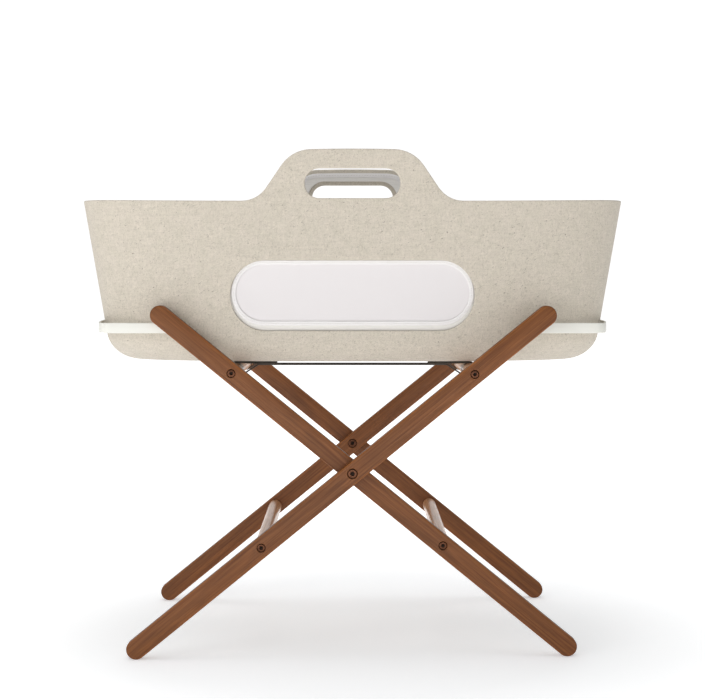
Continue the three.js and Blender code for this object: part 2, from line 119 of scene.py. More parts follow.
# the legs, with reaches measured along a leg from the pivot
LEG_ANGLE = math.radians(39.1)
LEG_HALF_WIDTH = 14.75 * MM
LEG_ROUND = 2.0 * MM
FOOT_REACH = 414.0 * MM
TIP_REACH = 372.0 * MM
UPPER_REACH = 234.0 * MM
LOWER_REACH = -174.5 * MM
PIVOT_HEAD = 7.5 * MM
SCREW_HEAD = 6.3 * MM
HEAD_HEIGHT = 4.0 * MM
HEAD_CLEARANCE = 0.2 * MM
BORE_DEPTH = 5.0 * MM
SHAFT = 3.0 * MM
SHAFT_BORE = 3.4 * MM
SOCKET = 2.9 * MM
PIVOT_SOCKET = SOCKET + 0.6 * MM
SOCKET_DEPTH = 2.3 * MM
SOCKET_TIP = 2.6 * MM
HEAD_DOME = 1.1 * MM

# the guard hoops and the straps
HOOP_THICK = 3.0 * MM
HOOP_BOW = 18.0 * MM
HOOP_CORNER = 22.0 * MM
HOOP_ROUND = 1.1 * MM
STRAP_THICK = 1.9 * MM
STRAP_ROUND = 0.8 * MM
STRAP_LOOSE = 0.3 * MM
STRAP_TOP = 433.2 * MM
STRAP_GAP = 0.15 * MM
STRAP_JOIN = 146.0 * MM
STRAP_TAIL = 118.0 * MM
STRAP_ROWS = (121.0 * MM, 127.0 * MM, 133.0 * MM, 139.0 * MM)

PIVOT = Vector(next(j for j in frame["joints"] if j["name"] == "stand_fold")["pos_m"])
BASE_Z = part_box("felt_shell")[0].z
LINER_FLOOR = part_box("liner")[0].z

# ------------------------------------------------------------------ node materials


class Shader:
    """A Principled material and the short calls that build its node tree."""

    def __init__(self, name, roughness=0.8, **sockets):
        self.material = bpy.data.materials.new(name)
        self.material.use_nodes = True
        self.nodes = self.material.node_tree.nodes
        self.links = self.material.node_tree.links
        self.surface = self.nodes["Principled BSDF"]
        self.set(self.surface, Roughness=roughness, **sockets)
        self.here = self.nodes.new("ShaderNodeTexCoord").outputs["Object"]

    def fill(self, socket, value):
        """Links a socket to another, or sets it to a number or a colour."""
        if isinstance(value, bpy.types.NodeSocket):
            self.links.new(value, socket)
        elif isinstance(value, tuple) and socket.type == "RGBA":
            socket.default_value = (*value, 1.0)
        else:
            socket.default_value = value

    def set(self, node, **sockets):
        for key, value in sockets.items():
            self.fill(node.inputs[key.replace("_", " ")], value)

    def node(self, kind, **sockets):
        node = self.nodes.new("ShaderNode" + kind)
        self.set(node, **sockets)
        return node

    def place(self, scale=(1, 1, 1), rotation=(0, 0, 0), source=None):
        """Object coordinates in metres, turned and then scaled."""
        turned = self.node("Mapping", Rotation=rotation, Vector=source or self.here)
        return self.node("Mapping", Scale=scale, Vector=turned.outputs["Vector"]).outputs["Vector"]

    def noise(self, scale, detail=3.0, roughness=0.6, distortion=0.0, **place):
        """Noise with so many cells to the metre, the same along X, Y and Z or one number each."""
        each = scale if isinstance(scale, tuple) else (scale,) * 3
        return self.node("TexNoise", Scale=1.0, Detail=detail, Roughness=roughness,
                         Distortion=distortion, Vector=self.place(each, **place)).outputs["Fac"]

    def wave(self, direction, period, distortion=0.0):
        """Bands across an axis, one to each period in metres."""
        node = self.node("TexWave", Scale=2 * math.pi / (period * 20), Distortion=distortion,
                         Detail=0.0, Vector=self.place())
        node.bands_direction = direction
        return node.outputs["Fac"]

    def length(self, vector):
        node = self.node("VectorMath", Vector=vector)
        node.operation = "LENGTH"
        return node.outputs["Value"]

    def math(self, operation, a, b=0.0):
        node = self.node("Math")
        node.operation = operation
        for socket, value in zip(node.inputs, (a, b)):
            self.fill(socket, value)
        return node.outputs[0]

    def strands(self, stretch, turns):
        """Overlaid long thin noise, one layer lying along each turned direction."""
        top = None
        for turn in turns:
            layer = self.noise(stretch, 2, 0.5, 0.6, rotation=turn)
            top = layer if top is None else self.math("MAXIMUM", top, layer)
        return top

    def ramp(self, factor, *stops):
        node = self.node("ValToRGB", Fac=factor)
        elements = node.color_ramp.elements
        while len(elements) < len(stops):
            elements.new(0.5)
        for element, (position, value) in zip(elements, stops):
            element.position = position
            element.color = (*(value if isinstance(value, tuple) else (value,) * 3), 1.0)
        return node.outputs["Color"]

    def mix(self, factor, a, b, blend="MIX"):
        node = self.node("Mix")
        node.data_type = "RGBA"
        node.blend_type = blend
        for index, value in ((0, factor), (6, a), (7, b)):
            self.fill(node.inputs[index], value)
        return node.outputs[2]

    def multiply(self, a, b):
        return self.mix(1.0, a, b, blend="MULTIPLY")

    def colour(self, value):
        self.set(self.surface, Base_Color=value)

    def roughness(self, value):
        self.set(self.surface, Roughness=value)

    def bump(self, height, strength, distance):
        node = self.node("Bump", Strength=strength, Distance=distance, Height=height)
        self.set(self.surface, Normal=node.outputs["Normal"])


def linear(red, green, blue):
    """An sRGB colour, 0 to 255, as linear light."""
    out = []
    for value in (red, green, blue):
        value /= 255
        out.append(value / 12.92 if value <= 0.04045 else ((value + 0.055) / 1.055) ** 2.4)
    return tuple(out)


def felt_material(name):
    """Oatmeal melange felt: faint threads across and up the walls, with grey and pale flecks."""
    s = Shader(name, roughness=0.95, Sheen_Weight=0.12, Sheen_Roughness=0.6,
               Sheen_Tint=(0.95, 0.92, 0.88))
    drift = s.noise(60)
    mottle = s.noise(230, detail=4, roughness=0.75)
    across = s.noise((60, 60, 430))
    upright = s.noise((430, 430, 60))
    turns = ((0.0, 0.1, 0.1), (0.1, 1.5, 0.2), (-0.7, 0.5, 1.3), (1.4, -0.4, 0.2))
    fine = s.strands((1500, 110, 1500), turns)
    coarse = s.strands((560, 170, 560), turns)
    pale = s.strands((900, 130, 900), turns[:2])
    body = s.mix(s.ramp(drift, (0.38, 0.0), (0.62, 1.0)), linear(204, 196, 181), linear(208, 199, 185))
    body = s.mix(s.ramp(coarse, (0.60, 0.0), (0.76, 0.5)), body, linear(160, 149, 135))
    body = s.mix(s.ramp(fine, (0.60, 0.0), (0.76, 0.5)), body, linear(146, 135, 122))
    specks = s.strands((520, 200, 520), turns[1:3])
    body = s.mix(s.ramp(specks, (0.675, 0.0), (0.74, 0.8)), body, linear(122, 113, 105))
    body = s.mix(s.ramp(pale, (0.62, 0.0), (0.80, 0.35)), body, linear(230, 223, 210))
    threads = s.math("MULTIPLY", s.math("ADD", across, upright), 0.5)
    body = s.multiply(body, s.ramp(threads, (0.38, 0.925), (0.60, 1.035)))
    s.colour(s.multiply(body, s.ramp(mottle, (0.3, 0.955), (0.7, 1.035))))
    matted = s.math("ADD", s.math("MULTIPLY", fine, 0.7), s.math("MULTIPLY", mottle, 0.6))
    s.bump(matted, 0.45, 0.5 * MM)
    return s.material


def woven_material(name, colour, pitch, depth=0.25, roughness=0.9, sheen=0.15):
    """Plain weave: warp and weft at right angles in the surface's own X, Y and Z."""
    s = Shader(name, roughness=roughness, Sheen_Weight=sheen, Sheen_Roughness=0.5)
    jitter = s.noise(300, detail=2)
    weft, warp, cross = (s.wave(direction, pitch, distortion=0.4) for direction in "ZXY")
    cloth = s.math("MULTIPLY", s.math("MAXIMUM", warp, cross), s.math("MAXIMUM", weft, jitter))
    slub = s.noise((90, 420, 420))
    tone = s.ramp(slub, (0.3, tuple(0.95 * v for v in colour)), (0.7, colour))
    shade = s.ramp(cloth, (0.0, 0.90), (1.0, 1.0))
    s.colour(s.multiply(tone, shade))
    s.bump(cloth, depth, 0.3 * MM)
    return s.material


def mesh_material(name):
    """Fine spacer mesh: rows of small round cells in white yarn, the same through its depth."""
    s = Shader(name, roughness=0.8, Sheen_Weight=0.1, Sheen_Roughness=0.4)
    cells = s.node("TexVoronoi", Scale=700, Randomness=0.1, Vector=s.place((1, 0, 1)))
    hole = s.ramp(cells.outputs["Distance"], (0.20, 0.0), (0.40, 1.0))
    s.colour(s.mix(hole, linear(214, 209, 209), linear(230, 226, 226)))
    s.bump(hole, 0.25, 0.3 * MM)
    return s.material


def wood_material(name, dark, light, axis="X", edges=None, gloss=0.42, coat=0.0):
    """Stained hardwood: long straight grain with pores, along the piece's own axis.

    Edges are the half sizes in Y and Z of a bar whose long edges get a painted highlight: paler wood standing in
    for the light its rounded arrises catch.
    """
    s = Shader(name, roughness=gloss, Specular_IOR_Level=0.28, Coat_Weight=coat, Coat_Roughness=0.18)
    shifted = s.node("VectorMath")
    shifted.operation = "ADD"
    s.fill(shifted.inputs[0], s.here)
    s.fill(shifted.inputs[1], s.math("MULTIPLY", s.node("ObjectInfo").outputs["Random"], 3.0))

    def layer(along, across, *settings):
        scale = (along, across, across) if axis == "X" else (across, along, across)
        return s.noise(scale, *settings, source=shifted.outputs[0])

    grain = layer(7, 330, 5, 0.62, 0.9)
    pores = layer(26, 900, 2, 0.5)
    figure = layer(9, 38, 2, 0.5, 1.2)
    middle = tuple((a + b) / 2 for a, b in zip(dark, light))
    tone = s.ramp(grain, (0.32, dark), (0.5, middle), (0.68, light))
    tone = s.mix(s.ramp(pores, (0.56, 0.0), (0.72, 0.45)), tone, tuple(v * 0.5 for v in dark))
    if edges:
        axes = s.node("SeparateXYZ", Vector=s.here)
        near = [s.math("DIVIDE", s.math("ABSOLUTE", axes.outputs[key]), half)
                for key, half in zip("YZ", edges)]
        # painted highlight: paler wood along the bar's long edges, where the rounded arrises would catch the light
        painted_edge_highlight = s.math("MULTIPLY", s.ramp(near[0], (0.82, 0.0), (0.93, 1.0)),
                        s.ramp(near[1], (0.88, 0.0), (0.96, 1.0)))
        tone = s.mix(s.math("MULTIPLY", painted_edge_highlight, 0.6), tone, tuple(min(1.6 * v, 1.0) for v in light))
    shade = s.ramp(figure, (0.3, 0.85), (0.7, 1.12))
    s.colour(s.multiply(tone, shade))
    s.roughness(s.ramp(grain, (0.3, gloss + 0.1), (0.7, gloss - 0.05)))
    s.bump(s.math("SUBTRACT", grain, pores), 0.12, 0.25 * MM)
    return s.material


def webbing_material(name):
    """Ribbed webbing: fine ribs across the strap and a herringbone of yarns."""
    s = Shader(name, roughness=0.85, Sheen_Weight=0.2, Sheen_Roughness=0.5)
    ribs, yarns = s.wave("X", 1.6 * MM), s.wave("Y", 2.2 * MM)
    weave = s.math("MULTIPLY", ribs, s.math("ADD", yarns, 0.35))
    fuzz = s.noise(500)
    tone = s.ramp(weave, (0.0, linear(62, 56, 50)), (1.0, linear(112, 103, 92)))
    s.colour(s.multiply(tone, s.ramp(fuzz, (0.3, 0.8), (0.7, 1.15))))
    s.bump(s.math("ADD", weave, s.math("MULTIPLY", fuzz, 0.3)), 0.6, 0.4 * MM)
    return s.material


def coated_material(name, colour, roughness=0.45):
    """Powder coat: an even colour with a fine orange-peel skin."""
    s = Shader(name, roughness=roughness)
    peel = s.noise(700, detail=2)
    drift = s.noise(18, detail=2)
    s.colour(s.ramp(drift, (0.3, tuple(0.96 * v for v in colour)), (0.7, colour)))
    s.roughness(s.ramp(peel, (0.3, roughness - 0.05), (0.7, roughness + 0.08)))
    s.bump(peel, 0.15, 0.15 * MM)
    return s.material


def metal_material(name, colour, roughness=0.35, metallic=1.0):
    """Plated steel or brass with faint turning marks and worn high spots."""
    s = Shader(name, roughness=roughness, Metallic=metallic)
    marks = s.noise((160, 2200, 160))
    blotch = s.noise(260)
    s.colour(s.ramp(blotch, (0.35, tuple(0.75 * v for v in colour)), (0.7, colour)))
    s.roughness(s.ramp(marks, (0.3, roughness - 0.08), (0.7, roughness + 0.15)))
    s.bump(marks, 0.15, 0.1 * MM)
    return s.material


def screw_material(name, colour, socket):
    """Bronze plate with painted shade inside the hexagonal socket, round the screw's own Z axis."""
    s = Shader(name, roughness=0.3, Metallic=1.0)
    away = s.length(s.place((1 / socket, 1 / socket, 0)))
    blotch = s.noise(420)
    plate = s.ramp(blotch, (0.35, tuple(0.7 * v for v in colour)), (0.7, colour))
    # painted shade: near-black colour inside the socket, where the recess would lie in shadow
    s.colour(s.mix(s.ramp(away, (0.80, 0.0), (1.0, 1.0)), linear(26, 20, 17), plate))
    marks = s.noise((900, 900, 160))
    s.roughness(s.ramp(marks, (0.3, 0.22), (0.7, 0.42)))
    s.bump(marks, 0.12, 0.08 * MM)
    return s.material


FELT_MAT = felt_material("felt_melange")
LINING_MAT = woven_material("cotton_lining", linear(240, 237, 232), 0.7 * MM)
BINDING_MAT = woven_material("cotton_binding", linear(243, 240, 239), 0.9 * MM, depth=0.35)
MATTRESS_MAT = woven_material("cotton_cover", linear(245, 243, 240), 0.8 * MM)
MESH_MAT = mesh_material("spacer_mesh")
LEG_LOW, LEG_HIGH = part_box("leg_a_front")
WALNUT = wood_material("walnut_leg", linear(100, 56, 24), linear(132, 80, 38),
                       edges=((LEG_HIGH.y - LEG_LOW.y) / 2, LEG_HALF_WIDTH))
# painted reflection: the dowels' walnut is far paler than the legs', standing in for the white studio mirrored in
# their glossy coat
WALNUT_DOWEL_PAINTED_REFLECTION = wood_material("walnut_dowel", linear(188, 138, 100), linear(218, 168, 128), axis="Y",
                             gloss=0.36, coat=0.4)
WEBBING = webbing_material("webbing_brown")
HOOP_PAINT = coated_material("hoop_powder_coat", linear(234, 233, 225))
BRONZE = metal_material("bronze_plate", linear(92, 68, 54), roughness=0.36)
SCREW_FINISH = {
    SCREW_HEAD: screw_material("screw_bronze", linear(88, 58, 43), SOCKET),
    PIVOT_HEAD: screw_material("bolt_bronze", linear(88, 58, 43), PIVOT_SOCKET),
}
BRASS = metal_material("plain_brass", linear(190, 150, 80), roughness=0.3)
NYLON = coated_material("black_nylon", linear(40, 38, 36), roughness=0.5)
BOARD = coated_material("pressed_board", linear(168, 143, 108), roughness=0.85)
LINING_THREAD = woven_material("lining_thread", linear(226, 221, 216), 0.5 * MM, depth=0.4)
DARK_THREAD = woven_material("webbing_thread", linear(128, 118, 105), 0.5 * MM, depth=0.4)

# ------------------------------------------------------------------ mesh building


def shade(obj, smooth_angle):
    """Smooth shading across edges that bend less than the angle given."""
    obj.data.polygons.foreach_set("use_smooth", [True] * len(obj.data.polygons))
    obj.data.set_sharp_from_angle(angle=math.radians(smooth_angle))


def apply_modifiers(obj):
    graph = bpy.context.evaluated_depsgraph_get()
    data = bpy.data.meshes.new_from_object(obj.evaluated_get(graph))
    obj.modifiers.clear()
    obj.data = data


def finish_piece(obj, body, replaced=()):
    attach(obj, body)
    if replaced:
        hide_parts(*replaced)


def arc(centre, radius, start, end, steps):
    """Points along a circle from one angle to another, with both ends."""
    turns = [start + (end - start) * k / steps for k in range(steps + 1)]
    return [(centre[0] + radius * math.cos(t), centre[1] + radius * math.sin(t)) for t in turns]


def runs(points):
    """The way an open line runs at each of its points."""
    ends = [points[0], *points, points[-1]]
    return [(Vector(after) - Vector(before)).normalized() for before, after in zip(ends, ends[2:])]


class Builder:
    """Vertices and faces gathered for one mesh."""

    def __init__(self):
        self.vertices = []
        self.faces = []

    def add(self, points):
        start = len(self.vertices)
        self.vertices.extend(points)
        return list(range(start, len(self.vertices)))

    def bridge(self, low, high, skip=None):
        """Quads between two closed loops of equal length, facing right of low's way to high."""
        count = len(low)
        for i in range(count):
            if skip and skip(i):
                continue
            j = (i + 1) % count
            self.faces.append((low[i], low[j], high[j], high[i]))

    def fan(self, loop, centre, flip=False):
        middle = self.add([centre])[0]
        for i, a in enumerate(loop):
            b = loop[(i + 1) % len(loop)]
            self.faces.append((b, a, middle) if flip else (a, b, middle))

    def lathe(self, profile, turn=0.0):
        """A closed solid turned about Y from (radius, y) pairs, with 48 sides."""
        turns = [t + turn for t in np.linspace(0, 2 * math.pi, 49)[:-1]]
        loops = [self.add([Vector((r * math.cos(t), y, r * math.sin(t))) for t in turns])
                 for r, y in profile]
        forward = profile[-1][1] > profile[0][1]
        for near, far in zip(loops, loops[1:]):
            self.bridge(*((far, near) if forward else (near, far)))
        self.fan(loops[0], Vector((0, profile[0][1], 0)), flip=not forward)
        self.fan(loops[-1], Vector((0, profile[-1][1], 0)), flip=forward)

    def object(self, name, material, smooth_angle=35.0):
        data = bpy.data.meshes.new(name)
        data.from_pydata([tuple(v) for v in self.vertices], [], self.faces)
        data.materials.append(material)
        obj = bpy.data.objects.new(name, data)
        scene.collection.objects.link(obj)
        shade(obj, smooth_angle)
        return obj


def sweep(builder, path, profile, closed=False):
    """A profile of (across, up) offsets along (point, across, up) frames, across x up = -run."""
    loops = []
    for point, across, up in path:
        loops.append(builder.add([point + across * a + up * b for a, b in profile]))
    for low, high in zip(loops, loops[1:]):
        builder.bridge(high, low)
    if closed:
        builder.bridge(loops[0], loops[-1])
        return
    for loop, flip in ((loops[0], False), (loops[-1], True)):
        middle = sum((builder.vertices[i] for i in loop), Vector()) / len(profile)
        builder.fan(loop, middle, flip)


def rounded_section(width, height, radius, steps=3):
    """A rectangle with rounded corners as (across, up) offsets, anticlockwise."""
    points = []
    for quarter, (sx, sy) in enumerate(((1, 1), (-1, 1), (-1, -1), (1, -1))):
        corner = (sx * (width / 2 - radius), sy * (height / 2 - radius))
        points += arc(corner, radius, math.pi / 2 * quarter, math.pi / 2 * (quarter + 1), steps)
    return points


# ------------------------------------------------------------------ basket surfaces

def section(z, skin, floor):
    """Half length, half width and superellipse power of the basket at a height."""
    radius = BASE_RADIUS - skin
    rise = min(max(z - floor, 0.0), radius)
    edge = radius - math.sqrt(max(radius**2 - (radius - rise) ** 2, 0.0))
    grow = (z - REF_Z) * FLARE - skin - edge
    return HALF_LENGTH + grow, HALF_WIDTH + grow, 3.0 + 1.2 * rise / radius


def plan_columns():
    """Unit plan directions, evenly spaced along the wall, anticlockwise from the front."""
    a, b, power = section(0.6, 0.0, BASE_Z)
    # the sweep slows towards both ends, where the superellipse stretches its samples apart
    angles = math.pi / 2 * (0.5 - 0.5 * np.cos(np.linspace(0, math.pi, 4001)))
    x = a * np.sin(angles) ** (2 / power)
    fine = np.concatenate([np.linspace(0, x[1], 400)[:-1], x[1:]])
    y_fine = b * (1 - np.clip(fine / a, 0, 1) ** power) ** (1 / power)
    length = np.concatenate([[0], np.cumsum(np.hypot(np.diff(fine), np.diff(y_fine)))])
    wanted = np.linspace(0, length[-1], QUARTER + 1)
    xs = np.interp(wanted, length, fine)
    ys = np.interp(wanted, length, y_fine)
    quarter = [(min(px / a, 1) ** (power / 2), min(py / b, 1) ** (power / 2))
               for px, py in zip(xs, ys)]
    quarter[0], quarter[-1] = (0.0, 1.0), (1.0, 0.0)
    columns = [(c, -s) for c, s in quarter]
    columns += [(c, s) for c, s in reversed(quarter[:-1])]
    columns += [(-c, s) for c, s in quarter[1:]]
    columns += [(-c, -s) for c, s in reversed(quarter[1:-1])]
    return columns


COLUMNS = plan_columns()
COUNT = len(COLUMNS)


def signed_power(value, power):
    return math.copysign(abs(value) ** power, value)


def wall_point(column, z, skin, floor):
    a, b, power = section(z, skin, floor)
    u, v = COLUMNS[column % COUNT]
    return Vector((a * signed_power(u, 2 / power), b * signed_power(v, 2 / power), z))


def side_point(x, z, skin, floor, side):
    """The wall's point at a given X and Z on the front (side -1) or the back (side 1)."""
    a, b, power = section(z, skin, floor)
    y = b * (1 - min(abs(x) / a, 1.0) ** power) ** (1 / power)
    return Vector((x, side * y, z))


def rim_z(x, drop):
    """Height of the basket's edge at X, followed at a distance drop below it."""
    x = abs(x)
    top_r, foot_r = HUMP_TOP_R - drop, HUMP_FOOT_R + drop
    sine, cosine = math.sin(HUMP_SLOPE), math.cos(HUMP_SLOPE)
    straight = HUMP_TOP - RIM_Z - (top_r + foot_r) * (1 - cosine)
    foot_x = HUMP_FLAT + (top_r + foot_r) * sine + straight / math.tan(HUMP_SLOPE)
    if x <= HUMP_FLAT:
        z = HUMP_TOP + HUMP_CROWN * (1 - (x / HUMP_FLAT) ** 2)
    elif x <= HUMP_FLAT + top_r * sine:
        z = HUMP_TOP - top_r + math.sqrt(top_r**2 - (x - HUMP_FLAT) ** 2)
    elif x <= foot_x - foot_r * sine:
        z = HUMP_TOP - top_r * (1 - cosine) - (x - HUMP_FLAT - top_r * sine) * math.tan(HUMP_SLOPE)
    elif x <= foot_x:
        z = RIM_Z + foot_r - math.sqrt(max(foot_r**2 - (foot_x - x) ** 2, 0.0))
    else:
        z = RIM_Z
    return z + RIM_RISE * (x / RIM_HALF) ** 4 - drop


def column_top(column, skin, floor, drop):
    """Where a wall column meets the edge, allowing for the wall's lean."""
    z = RIM_Z
    for _ in range(12):
        z = rim_z(wall_point(column, z, skin, floor).x, drop)
    return z


class BasketSkin:
    """A closed shell between two skins of the basket, with its handle slots and windows."""

    ARC = 9
    RIM_ROWS = 15
    WALL_STEP = 7.2 * MM
    BELOW_RIM = 664.0 * MM
    PATCH_REACH = 7.0 * MM
    PATCH_RISE = 4.0 * MM

    def __init__(self, outer, inner, floors, drop, rounding, slot, window):
        self.build = Builder()
        self.outer, self.inner = outer, inner
        self.floors = floors
        self.drop, self.rounding = drop, rounding
        self.slot, self.window = slot, window
        self.outer_loops = self.sheet(outer, floors[0], upward=True)
        self.rim()
        self.inner_loops = self.sheet(inner, floors[1], upward=False)
        for side, middle in ((-1, 0), (1, 2 * QUARTER)):
            for hole in (slot, window):
                self.hole(side, middle, hole)

    def rows(self, skin, floor, column):
        """Heights of one column's rows from the floor's outline to just below the edge."""
        radius = BASE_RADIUS - skin
        heights = [floor + radius * (1 - math.cos(math.pi / 2 * k / self.ARC))
                   for k in range(self.ARC + 1)]
        start = heights[-1]
        steps = round((self.BELOW_RIM - start) / self.WALL_STEP)
        heights += [start + (self.BELOW_RIM - start) * k / steps for k in range(1, steps + 1)]
        top = column_top(column, skin, floor, self.drop + self.rounding)
        heights += [self.BELOW_RIM + (top - self.BELOW_RIM) * k / self.RIM_ROWS
                    for k in range(1, self.RIM_ROWS + 1)]
        return heights

    def sheet(self, skin, floor, upward):
        """One skin from the floor to just below the edge, with cells left out for the holes."""
        columns = [self.rows(skin, floor, c) for c in range(COUNT)]
        loops = [self.build.add([wall_point(c, z, skin, floor) for c, z in enumerate(row)])
                 for row in zip(*columns)]
        skipped = self.skipped(columns)
        for r in range(len(loops) - 1):
            low, high = (loops[r], loops[r + 1]) if upward else (loops[r + 1], loops[r])
            self.build.bridge(low, high, skip=lambda i, r=r: (r, i) in skipped)
        self.floor(loops[0], floor, upward)
        return loops

    def floor(self, outline, z, upward):
        """The flat floor as shrinking copies of its outline."""
        previous = outline
        steps = 14
        for k in range(1, steps):
            share = 1 - k / steps
            ring = self.build.add([Vector((v.x * share, v.y * share, z))
                                   for v in (self.build.vertices[i] for i in outline)])
            low, high = (ring, previous) if upward else (previous, ring)
            self.build.bridge(low, high)
            previous = ring
        self.build.fan(previous, Vector((0, 0, z)), flip=upward)

    def rim(self):
        """Rounds the top edge over, from the outer skin to the inner one."""
        steps = 4
        profile = [(self.outer + self.rounding * (1 - math.cos(math.pi / 2 * k / steps)),
                    self.drop + self.rounding * (1 - math.sin(math.pi / 2 * k / steps)))
                   for k in range(1, steps + 1)]
        profile += [(self.outer + self.inner - skin, drop) for skin, drop in reversed(profile)]
        previous = self.outer_loops[-1]
        for skin, drop in profile:
            loop = self.build.add(
                [wall_point(c, column_top(c, skin, self.floors[0], drop), skin, self.floors[0])
                 for c in range(COUNT)])
            self.build.bridge(previous, loop)
            previous = loop
        self.rim_loop = previous

    def patch_range(self, hole, columns):
        """Columns and rows of the cells that a hole's own patch takes the place of."""
        half, radius, middle = hole
        heights = columns[0]
        low = max(r for r, z in enumerate(heights) if z < middle - radius - self.PATCH_RISE)
        high = min(r for r, z in enumerate(heights) if z > middle + radius + self.PATCH_RISE)
        wide = 1
        while wall_point(wide, middle, self.outer, self.floors[0]).x < half + self.PATCH_REACH:
            wide += 1
        return wide, low, high

    def skipped(self, columns):
        """The cells that are left out of a sheet, as (row, column)."""
        self.ranges = {h: self.patch_range(h, columns) for h in (self.slot, self.window)}
        cells = set()
        for wide, low, high in self.ranges.values():
            for middle in (0, 2 * QUARTER):
                for r in range(low, high):
                    for c in range(middle - wide, middle + wide):
                        cells.add((r, c % COUNT))
        return cells

    def outline(self, loops, middle, hole):
        """The patch's border on one sheet, anticlockwise seen from outside."""
        wide, low, high = self.ranges[hole]
        left, right = middle - wide, middle + wide
        keys = [(low, c) for c in range(left, right)]
        keys += [(r, right) for r in range(low, high)]
        keys += [(high, c) for c in range(right, left, -1)]
        keys += [(r, left) for r in range(high, low, -1)]
        return [loops[r][c % COUNT] for r, c in keys]

    def hole(self, side, middle, hole):
        """One cut-out: rings from its border on the outer sheet, round the cut, to the inner one."""
        half, radius, centre = hole
        spine = half - radius
        outer_border = self.outline(self.outer_loops, middle, hole)
        inner_border = self.outline(self.inner_loops, middle, hole)
        round_steps = 3

        def at(border, spread, share):
            points = []
            for i in border:
                v = self.build.vertices[i]
                nearest = min(max(v.x, -spine), spine)
                away = Vector((v.x - nearest, v.z - centre))
                away.normalize()
                edge = Vector((nearest, centre)) + away * (radius + spread)
                points.append(Vector((v.x, v.z)).lerp(edge, share))
            return points

        def place(points, skin, floor):
            return self.build.add([side_point(p.x, p.y, skin, floor, side) for p in points])

        previous = outer_border
        rings = [(outer_border, self.rounding, share, self.outer) for share in (0.35, 0.7, 1.0)]
        for k in range(1, round_steps + 1):
            angle = math.pi / 2 * k / round_steps
            rings.append((outer_border, self.rounding * (1 - math.sin(angle)), 1.0,
                          self.outer + self.rounding * (1 - math.cos(angle))))
        for k in range(round_steps, -1, -1):
            angle = math.pi / 2 * k / round_steps
            rings.append((inner_border, self.rounding * (1 - math.sin(angle)), 1.0,
                          self.inner - self.rounding * (1 - math.cos(angle))))
        rings += [(inner_border, self.rounding, share, self.inner) for share in (0.7, 0.35)]
        for border, spread, share, skin in rings:
            loop = place(at(border, spread, share), skin, self.floors[0])
            self.build.bridge(previous, loop)
            previous = loop
        self.build.bridge(previous, inner_border)

    def finish(self, name, material, smooth_angle=50.0):
        self.build.bridge(self.rim_loop, self.inner_loops[-1])
        return self.build.object(name, material, smooth_angle)


def felt_shell():
    skin = BasketSkin(0.0, FELT, (BASE_Z, BASE_Z + FELT), 0.0, FELT_ROUND, HANDLE, WINDOW)
    shell = skin.finish("felt_body", FELT_MAT)
    finish_piece(shell, "basket", ["felt_shell"])


def cloth_liner():
    skin = BasketSkin(LINER_SKIN, LINER_SKIN + LINER_THICK, (LINER_FLOOR, LINER_FLOOR + LINER_THICK),
                      LINER_DROP, LINER_ROUND, HANDLE_LINER, MESH)
    cloth = skin.finish("cloth_liner", LINING_MAT)
    finish_piece(cloth, "basket", ["liner"])
    return cloth


def stadium_points(half, radius, centre, count, spread=0.0):
    """Evenly spaced (x, z) points round a stadium, anticlockwise from its lowest middle."""
    r = radius + spread
    spine = half - radius
    lap = 2 * spine + math.pi * r
    points = []
    for k in range(count):
        s = 2 * lap * k / count
        way = 1 if s < lap else -1
        s %= lap
        angle = min(max((s - spine) / r, 0.0), math.pi)
        x = min(s, spine, lap - s) + r * math.sin(angle)
        points.append((way * x, centre - way * r * math.cos(angle)))
    return points


def mesh_window(name, node, side):
    """The stretched mesh behind one window: two faces joined round a stadium edge."""
    half, radius, centre = MESH
    count, rings = 200, 10
    b = Builder()
    outline = stadium_points(half, radius, centre, count, -MESH_GAP)
    spine = half - radius

    def ring(share, skin):
        points = []
        for x, z in outline:
            core = Vector((min(max(x, -spine), spine), centre))
            p = core.lerp(Vector((x, z)), share)
            points.append(side_point(p.x, p.y, skin, LINER_FLOOR, side))
        return b.add(points)

    faces = [LINER_SKIN + gap for gap in MESH_FACES]
    loops = [ring(k / rings, faces[0]) for k in range(1, rings + 1)]
    loops += [ring(k / rings, faces[1]) for k in range(rings, 0, -1)]
    for inner_loop, outer_loop in zip(loops, loops[1:]):
        if side < 0:
            b.bridge(outer_loop, inner_loop)
        else:
            b.bridge(inner_loop, outer_loop)
    for loop, skin, outward in ((loops[0], faces[0], True), (loops[-1], faces[1], False)):
        middle = [side_point(min(max(x, -spine), spine), centre, skin, LINER_FLOOR, side)
                  for x, _ in outline]
        close_spine(b, loop, middle, (side < 0) != outward)
    panel = b.object(name, MESH_MAT)
    finish_piece(panel, "basket", [node])
    return panel


def close_spine(b, loop, middle, flip):
    """Closes a long ring onto its middle line, merging the points that meet there."""
    keys, line = {}, []
    for p in middle:
        key = (round(p.x, 6), round(p.y, 6))
        if key not in keys:
            keys[key] = b.add([p])[0]
        line.append(keys[key])
    count = len(loop)
    for i in range(count):
        j = (i + 1) % count
        corners = [loop[i], loop[j], line[j], line[i]]
        if line[i] == line[j]:
            corners = corners[:3]
        b.faces.append(tuple(reversed(corners)) if flip else tuple(corners))


def wall_normal(column, z, skin, floor):
    along = wall_point(column + 1, z, skin, floor) - wall_point(column - 1, z, skin, floor)
    rise = wall_point(column, z + 1 * MM, skin, floor) - wall_point(column, z - 1 * MM, skin, floor)
    return along.cross(rise).normalized()


def edge_line(skin, floor, drop):
    """A closed line (point, outward) round the wall, a distance drop below the felt's edge."""
    tops = [column_top(c, skin, floor, drop) for c in range(COUNT)]
    return [(wall_point(c, z, skin, floor), wall_normal(c, z, skin, floor))
            for c, z in enumerate(tops)]


